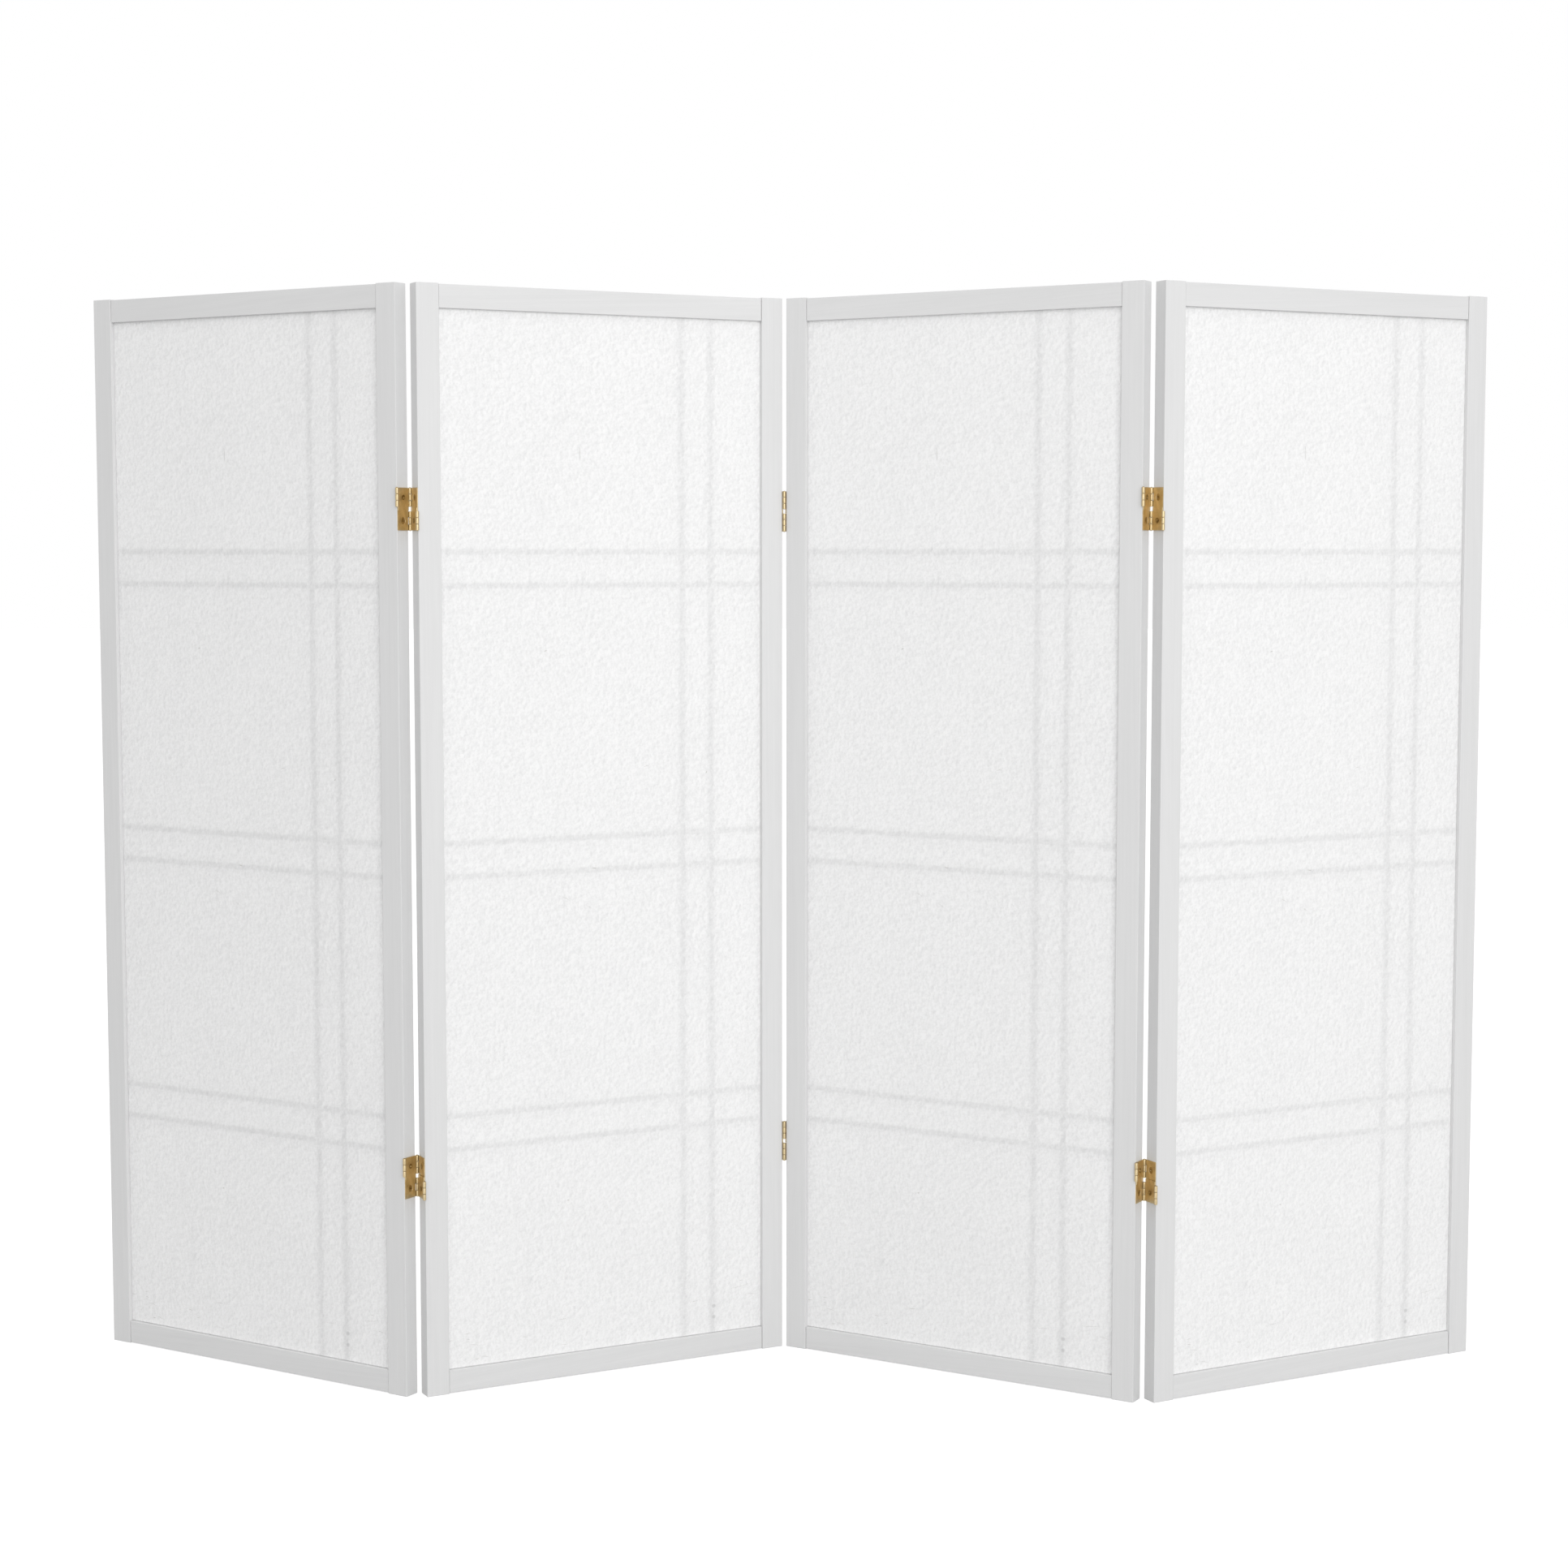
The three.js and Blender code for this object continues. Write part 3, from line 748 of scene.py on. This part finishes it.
def rice_paper():
    """Translucent paper with a pebbled, fibrous face, whose pebbles carry painted light and shade. The bars behind
    it show as faint stripes of painted shadow, and a painted shadow line with painted bounced light above it runs
    along its foot.
    """
    nodes = Nodes("rice_paper")
    place = nodes.tree.nodes.new("ShaderNodeTexCoord").outputs["Object"]
    split = nodes.tree.nodes.new("ShaderNodeSeparateXYZ")
    nodes.tree.links.new(place, split.inputs[0])
    across, up = split.outputs["X"], split.outputs["Z"]

    pebble = nodes.noise(place, (265, 60, 205), detail=1.0)
    grit = nodes.noise(place, (540, 60, 470), detail=2.0)
    # Painted light and shade of the pebbles: one side of each lighter, the other darker
    painted_relief_shading = nodes.painted_relief_light(place, (205, 60, 195), (0.0008, 0, -0.0004), detail=2.0, roughness=0.6)
    clouds = nodes.noise(place, (11, 8, 9), detail=2.0)
    flecks = nodes.noise(place, (420, 60, 380), detail=1.0)
    ragged = nodes.maths("SUBTRACT", nodes.noise(place, (260, 60, 260), detail=1.0), 0.5)

    # Painted shadows of the lattice bars behind the sheet, as faint darker stripes
    by_upright = painted_bar_shadow_mask(nodes, across, (UPRIGHT_PLACE,), UPRIGHT_SPACING, 0.003, 0.008, None)
    level = painted_bar_shadow_mask(nodes, up, CROSS_HEIGHTS, CROSS_SPACING, 0.0019, 0.0042, ragged)
    level = nodes.maths("MULTIPLY", level, nodes.linear(by_upright, 0.0, 1.0, 1.0, 0.3))
    plumb = painted_bar_shadow_mask(nodes, across, (UPRIGHT_PLACE,), UPRIGHT_SPACING, 0.001, 0.0072, ragged)
    dashed = nodes.linear(nodes.noise(place, (130, 60, 70), detail=1.0), 0.35, 0.65, 0.7, 1.15)
    painted_bar_shadow = nodes.maths("MULTIPLY", nodes.maths("MAXIMUM", level, plumb), dashed)

    tone = [nodes.linear(pebble, 0.25, 0.75, 1 - PEBBLE, 1 + PEBBLE),
            nodes.linear(grit, 0.25, 0.75, 1 - GRIT, 1 + GRIT),
            # Painted light and shade of the pebbles
            nodes.linear(painted_relief_shading, -0.25, 0.25, 1 - PAINTED_RELIEF_SHADE, 1 + PAINTED_RELIEF_SHADE),
            nodes.linear(clouds, 0.3, 0.7, 0.994, 1.006),
            nodes.smooth(flecks, 0.58, 0.76, 1.0, FLECK_TONE),
            # Painted shadow: a thin dark line along the foot of the sheet, where it meets the bottom rail
            nodes.smooth(up, OPENING_LOW, OPENING_LOW + PAINTED_SHADOW_LINE_WIDTH, PAINTED_SHADOW_LINE_TONE, 1.0),
            # Painted light: a slightly lighter strip just above that line, as light bounced from the rail
            nodes.smooth(up, OPENING_LOW + PAINTED_SHADOW_LINE_WIDTH, OPENING_LOW + PAINTED_BOUNCE_LIGHT_HEIGHT, PAINTED_BOUNCE_LIGHT_TONE, 1.0),
            # Painted shadow of the lattice bars
            nodes.linear(painted_bar_shadow, 0.0, 1.0, 1.0, PAINTED_BAR_SHADOW_TONE),
            nodes.linear(smudged(nodes, across, up), 0.0, 1.0, 1.0, SMUDGE_TONE)]
    colour = nodes.tinted(RICE_PAPER, *tone)
    height = nodes.maths("MULTIPLY_ADD", grit, 0.3, pebble)
    bump = nodes.add("Bump", {"Strength": 0.4, "Distance": 0.0001, "Height": height})
    face = nodes.add("BsdfPrincipled", {
        "Base Color": colour,
        "Roughness": 0.85,
        "Specular IOR Level": 0.2,
        "Normal": bump,
    })
    glow = nodes.add("BsdfTranslucent", {"Color": colour, "Normal": bump})
    return nodes.output(nodes.add("MixShader", {0: PAPER_CLEARNESS, 1: face, 2: glow}))


def paper_fibre():
    """The long bast fibres in the sheet, a little darker than the rest."""
    nodes = Nodes("paper_fibre")
    place = nodes.tree.nodes.new("ShaderNodeTexCoord").outputs["Object"]
    streak = nodes.noise(place, (300, 60, 120), detail=2.0)
    shader = nodes.add("BsdfPrincipled", {
        "Base Color": nodes.tinted(FIBRE, nodes.linear(streak, 0.3, 0.7, 0.9, 1.06)),
        "Roughness": 0.8,
        "Specular IOR Level": 0.2,
    })
    return nodes.output(shader)


def brass(name, colour, low_roughness, high_roughness):
    """Brass plate with fine drawing lines, a little tarnish and soft handling marks, and painted shade that
    darkens it where it is rolled.
    """
    nodes = Nodes(name)
    place = nodes.tree.nodes.new("ShaderNodeTexCoord").outputs["Object"]
    lines = nodes.noise(place, (900, 5200, 260), detail=2.0)
    tarnish = nodes.noise(place, (190, 190, 120), detail=3.0)
    spots = nodes.noise(place, (900, 900, 900), detail=2.0)
    split = nodes.tree.nodes.new("ShaderNodeSeparateXYZ")
    nodes.tree.links.new(place, split.inputs[0])
    from_middle = nodes.maths("ABSOLUTE", split.outputs["Y"])
    # Painted shade: the rolled barrels and the pins in them darker than the flat plate
    tone = [nodes.smooth(from_middle, PLATE_HALF, PLATE_HALF + TURNING_GAP, 1.0, PAINTED_BARREL_SHADE_TONE),
            nodes.linear(tarnish, 0.3, 0.7, 0.86, 1.1),
            nodes.linear(spots, 0.3, 0.75, 1.04, 0.92)]
    bump = nodes.add("Bump", {"Strength": 0.25, "Distance": 0.00002, "Height": lines})
    shader = nodes.add("BsdfPrincipled", {
        "Base Color": nodes.tinted(colour, *tone),
        "Metallic": 1.0,
        "Roughness": nodes.linear(tarnish, 0.3, 0.7, low_roughness, high_roughness),
        "Normal": bump,
    })
    return nodes.output(shader)


WHITE_PAINT = (0.728, 0.728, 0.728)
RICE_PAPER = (0.957, 0.957, 0.957)
FIBRE = (0.42, 0.40, 0.36)
BRASS = (0.66, 0.53, 0.315)
OLD_BRASS = (0.40, 0.28, 0.12)
PAPER_CLEARNESS = 0.2
PEBBLE = 0.041
GRIT = 0.032
# How strong the painted light and shade of the pebbles is
PAINTED_RELIEF_SHADE = 0.055
# How dark the painted shadows of the lattice bars are
PAINTED_BAR_SHADOW_TONE = 0.96
SMUDGE_TONE = 0.82
FLECK_TONE = 1.025
# A painted shadow line along the foot of the sheet, where it meets the bottom rail
PAINTED_SHADOW_LINE_WIDTH = 0.0013
PAINTED_SHADOW_LINE_TONE = 0.6
# A painted strip of light bounced from the bottom rail, just above the painted shadow line
PAINTED_BOUNCE_LIGHT_HEIGHT = 0.008
PAINTED_BOUNCE_LIGHT_TONE = 1.015
# How much darker the painted shade makes the rolled barrels
PAINTED_BARREL_SHADE_TONE = 0.82


# ---------------------------------------------------------------- the object

def panel_frames():
    """Where each panel's own frame stands, from the pin lines that the joints turn about."""
    pins = {name: Vector(joint["pos_m"][:2]) for name, joint in joints.items()}
    folds = {name: math.radians(-joint["range_deg"][0]) for name, joint in joints.items()}
    pitch = PANEL_WIDTH + HINGE_GAP
    second = pins["fold_23"] - pins["fold_12"]
    third = pins["fold_34"] - pins["fold_23"]
    heading_2 = math.atan2(second.y, second.x) - math.atan2(-2 * PIN_LINE, pitch)
    heading_3 = math.atan2(third.y, third.x) - math.atan2(2 * PIN_LINE, pitch)
    headings = [heading_2 - folds["fold_12"], heading_2, heading_3, heading_3 + folds["fold_34"]]
    held = [("fold_12", PANEL_WIDTH + HINGE_GAP / 2, PIN_LINE), ("fold_12", -HINGE_GAP / 2, PIN_LINE),
            ("fold_23", -HINGE_GAP / 2, -PIN_LINE), ("fold_34", -HINGE_GAP / 2, PIN_LINE)]
    frames = []
    for heading, (joint, x, y) in zip(headings, held):
        turn = Matrix.Rotation(heading, 4, "Z")
        pin = Matrix.Translation((*pins[joint], 0))
        frames.append(pin @ turn @ Matrix.Translation((-x, -y, 0)))
    return frames


def add_piece(name, mesh, material, place, panel, nodes=()):
    """A piece that rides on a panel and stands for some nodes of the frame."""
    piece = bpy.data.objects.new(name, mesh)
    bpy.context.scene.collection.objects.link(piece)
    piece.matrix_world = place
    if not mesh.materials:
        mesh.materials.append(material)
    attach(piece, f"panel_{panel}")
    if nodes:
        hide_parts(*nodes)
    return piece


def numbered(mesh, value):
    """mesh with its panel's number on every point, which the materials read."""
    mesh.attributes.new("panel", "FLOAT", "POINT")
    mesh.attributes["panel"].data.foreach_set("value", [float(value)] * len(mesh.vertices))
    return mesh


def weigh_normals(piece):
    """Keeps the large faces flat beside their rounded edges."""
    modifier = piece.modifiers.new("weighted_normals", "WEIGHTED_NORMAL")
    modifier.keep_sharp = True
    modifier.weight = 100


def add_panel(number, place, finishes):
    upright, level, paper, fibre = finishes
    last = len(joints) + 1
    hinged = {"left": number > 1, "right": number < last}
    seed = number * 10.0
    for side, inner, x in (("left", 1, STILE_WIDTH / 2), ("right", -1, PANEL_WIDTH - STILE_WIDTH / 2)):
        node = f"panel_{number}_{side}_stile"
        mesh = numbered(stile_mesh(node, inner, hinged[side]), seed + inner)
        mesh.transform(Matrix.Translation((x, 0, 0)))
        weigh_normals(add_piece(f"{node}_planed", mesh, upright, place, number, [node]))
    middle = RAIL_DROP + RAIL_HEIGHT / 2
    for end, inner, z in (("bottom", 1, middle), ("top", -1, PANEL_HEIGHT - middle)):
        node = f"panel_{number}_{end}_rail"
        mesh = numbered(rail_mesh(node, inner), seed + 3 + inner)
        mesh.transform(Matrix.Translation((PANEL_WIDTH / 2, 0, z)))
        weigh_normals(add_piece(f"{node}_planed", mesh, level, place, number, [node]))
    lattice = f"panel_{number}_lattice"
    for bars, is_upright, finish in (("uprights", True, upright), ("cross_bars", False, level)):
        mesh = numbered(bars_mesh(f"{lattice}_{bars}", is_upright), seed + 5 + is_upright)
        weigh_normals(add_piece(f"{lattice}_{bars}", mesh, finish, place, number, [lattice]))
    sheet = f"panel_{number}_paper"
    mesh = numbered(paper_mesh(sheet, number), seed)
    add_piece(f"{sheet}_sheet", mesh, paper, place, number, [sheet])
    add_piece(f"{sheet}_fibres", fibres_mesh(sheet, number), fibre, place, number)


def add_hinge_half(parts, metals, prefix, place, panel):
    """The half of a hinge that stays with one panel: leaf, link, two pins and two screws."""
    plate_metal, pin_metal, screw_metal = metals
    half_turn = Matrix.Rotation(math.pi, 4, "X")
    add_piece(f"{prefix}_leaf_plate", parts["leaf"], plate_metal, place, panel, [f"{prefix}_leaf"])
    add_piece(f"{prefix}_link_plate", parts["link"], plate_metal, place, panel, [f"{prefix}_link"])
    add_piece(f"{prefix}_turning_pin", parts["pin"], pin_metal, place, panel, [f"{prefix}_pin"])
    add_piece(f"{prefix}_resting_pin", parts["pin"], pin_metal, place @ half_turn, panel)
    for end, side, turn in (("lower", -1, 0.4), ("upper", 1, 1.2)):
        spot = Matrix.Translation((0, 0, side * SCREW_SPACING / 2)) @ Matrix.Rotation(turn, 4, "X")
        add_piece(f"{prefix}_{end}_screw", parts["screw"], screw_metal, place @ spot, panel)


def add_hinges(frames, metals):
    parts = {"leaf": leaf_mesh(), "link": link_mesh(), "pin": pin_mesh(), "screw": screw_mesh()}
    for index, name in enumerate(sorted(joints)):
        back_fold = joints[name]["pos_m"][1] > 0
        pair = name.removeprefix("fold_")
        for level, height in HINGE_HEIGHTS.items():
            for side, panel, x in (("left", index + 1, PANEL_WIDTH + HINGE_GAP / 2),
                                   ("right", index + 2, -HINGE_GAP / 2)):
                turn = Matrix.Rotation(math.pi if side == "right" else 0, 4, "Y")
                flip = Matrix.Rotation(math.pi if back_fold else 0, 4, "X")
                place = frames[panel - 1] @ Matrix.Translation((x, 0, height)) @ turn @ flip
                add_hinge_half(parts, metals, f"hinge_{pair}_{level}_{side}", place, panel)


# ---------------------------------------------------------------- studio

CAMERA_PLACE = (-0.003166, -3.17436, 0.934031)
CAMERA_PITCH = math.radians(-4.738)
CAMERA_TURN = math.radians(-0.028)
CAMERA_LENS = 65.064
SENSOR = 36.0
KEY_PLACE = Vector((1.378, -4.806, 2.0))
KEY_AIM = Vector((0, 0, 0.6))
KEY_SIZE = 4.0
KEY_POWER = 122.0
SKY = 0.835
FLOOR_COLOUR = (0.45, 0.45, 0.45, 1.0)
FLOOR_SHADED = (0.5, 0.5, 0.5, 1.0)
FLOOR_GLOW = 0.72
FLOOR_SIZE = 60.0


def add_camera():
    data = bpy.data.cameras.new("camera")
    data.lens = CAMERA_LENS
    data.sensor_width = SENSOR
    camera = bpy.data.objects.new("camera", data)
    camera.location = CAMERA_PLACE
    camera.rotation_euler = (math.pi / 2 + CAMERA_PITCH, 0, CAMERA_TURN)
    bpy.context.scene.collection.objects.link(camera)
    bpy.context.scene.camera = camera


def seen_directly(tree):
    """1 for rays from the camera, from a mirror or through glass, 0 for the light on the object."""
    path = tree.nodes.new("ShaderNodeLightPath")
    total = path.outputs["Is Camera Ray"]
    for ray in ("Is Glossy Ray", "Is Transmission Ray"):
        most = tree.nodes.new("ShaderNodeMath")
        most.operation = "MAXIMUM"
        tree.links.new(total, most.inputs[0])
        tree.links.new(path.outputs[ray], most.inputs[1])
        total = most.outputs[0]
    return total


def add_world():
    world = bpy.data.worlds.new("studio")
    world.use_nodes = True
    tree = world.node_tree
    tree.nodes.clear()
    mix = tree.nodes.new("ShaderNodeMixShader")
    tree.links.new(seen_directly(tree), mix.inputs[0])
    for socket, strength in ((1, SKY), (2, 1.0)):
        background = tree.nodes.new("ShaderNodeBackground")
        background.inputs["Color"].default_value = (1, 1, 1, 1)
        background.inputs["Strength"].default_value = strength
        tree.links.new(background.outputs[0], mix.inputs[socket])
    output = tree.nodes.new("ShaderNodeOutputWorld")
    tree.links.new(mix.outputs[0], output.inputs["Surface"])
    bpy.context.scene.world = world


def add_key():
    """A large soft lamp behind the camera, a little to its right."""
    data = bpy.data.lights.new("key", "AREA")
    data.shape = "SQUARE"
    data.size = KEY_SIZE
    data.energy = KEY_POWER
    key = bpy.data.objects.new("key", data)
    key.location = KEY_PLACE
    key.rotation_mode = "QUATERNION"
    key.rotation_quaternion = (KEY_PLACE - KEY_AIM).to_track_quat("Z", "Y")
    key.visible_camera = False
    bpy.context.scene.collection.objects.link(key)


def add_floor():
    """A pale floor that reads as white where nothing shades it."""
    nodes = Nodes("floor")
    plain = nodes.add("BsdfDiffuse", {"Color": FLOOR_COLOUR})
    shaded = nodes.add("BsdfDiffuse", {"Color": FLOOR_SHADED})
    glow = nodes.add("Emission", {"Color": (1, 1, 1, 1), "Strength": FLOOR_GLOW})
    white = nodes.add("AddShader", {0: shaded, 1: glow})
    nodes.output(nodes.add("MixShader", {0: seen_directly(nodes.tree), 1: plain, 2: white}))
    bm = bmesh.new()
    bmesh.ops.create_grid(bm, x_segments=1, y_segments=1, size=FLOOR_SIZE / 2)
    mesh = bpy.data.meshes.new("floor")
    bm.to_mesh(mesh)
    bm.free()
    mesh.materials.append(nodes.material)
    floor = bpy.data.objects.new("floor", mesh)
    bpy.context.scene.collection.objects.link(floor)


def add_screen():
    frames = panel_frames()
    finishes = (painted_wood("white_paint_upright", 2, math.radians(0.4)),
                painted_wood("white_paint_level", 0, math.radians(3)), rice_paper(), paper_fibre())
    for number, place in enumerate(frames, 1):
        add_panel(number, place, finishes)
    metals = (brass("brass_plate", BRASS, 0.32, 0.46), brass("brass_pin", OLD_BRASS, 0.3, 0.45),
              brass("brass_screw", OLD_BRASS, 0.35, 0.5))
    add_hinges(frames, metals)


add_camera()
add_world()
add_key()
add_floor()
add_screen()
bpy.context.scene.view_settings.view_transform = "Standard"
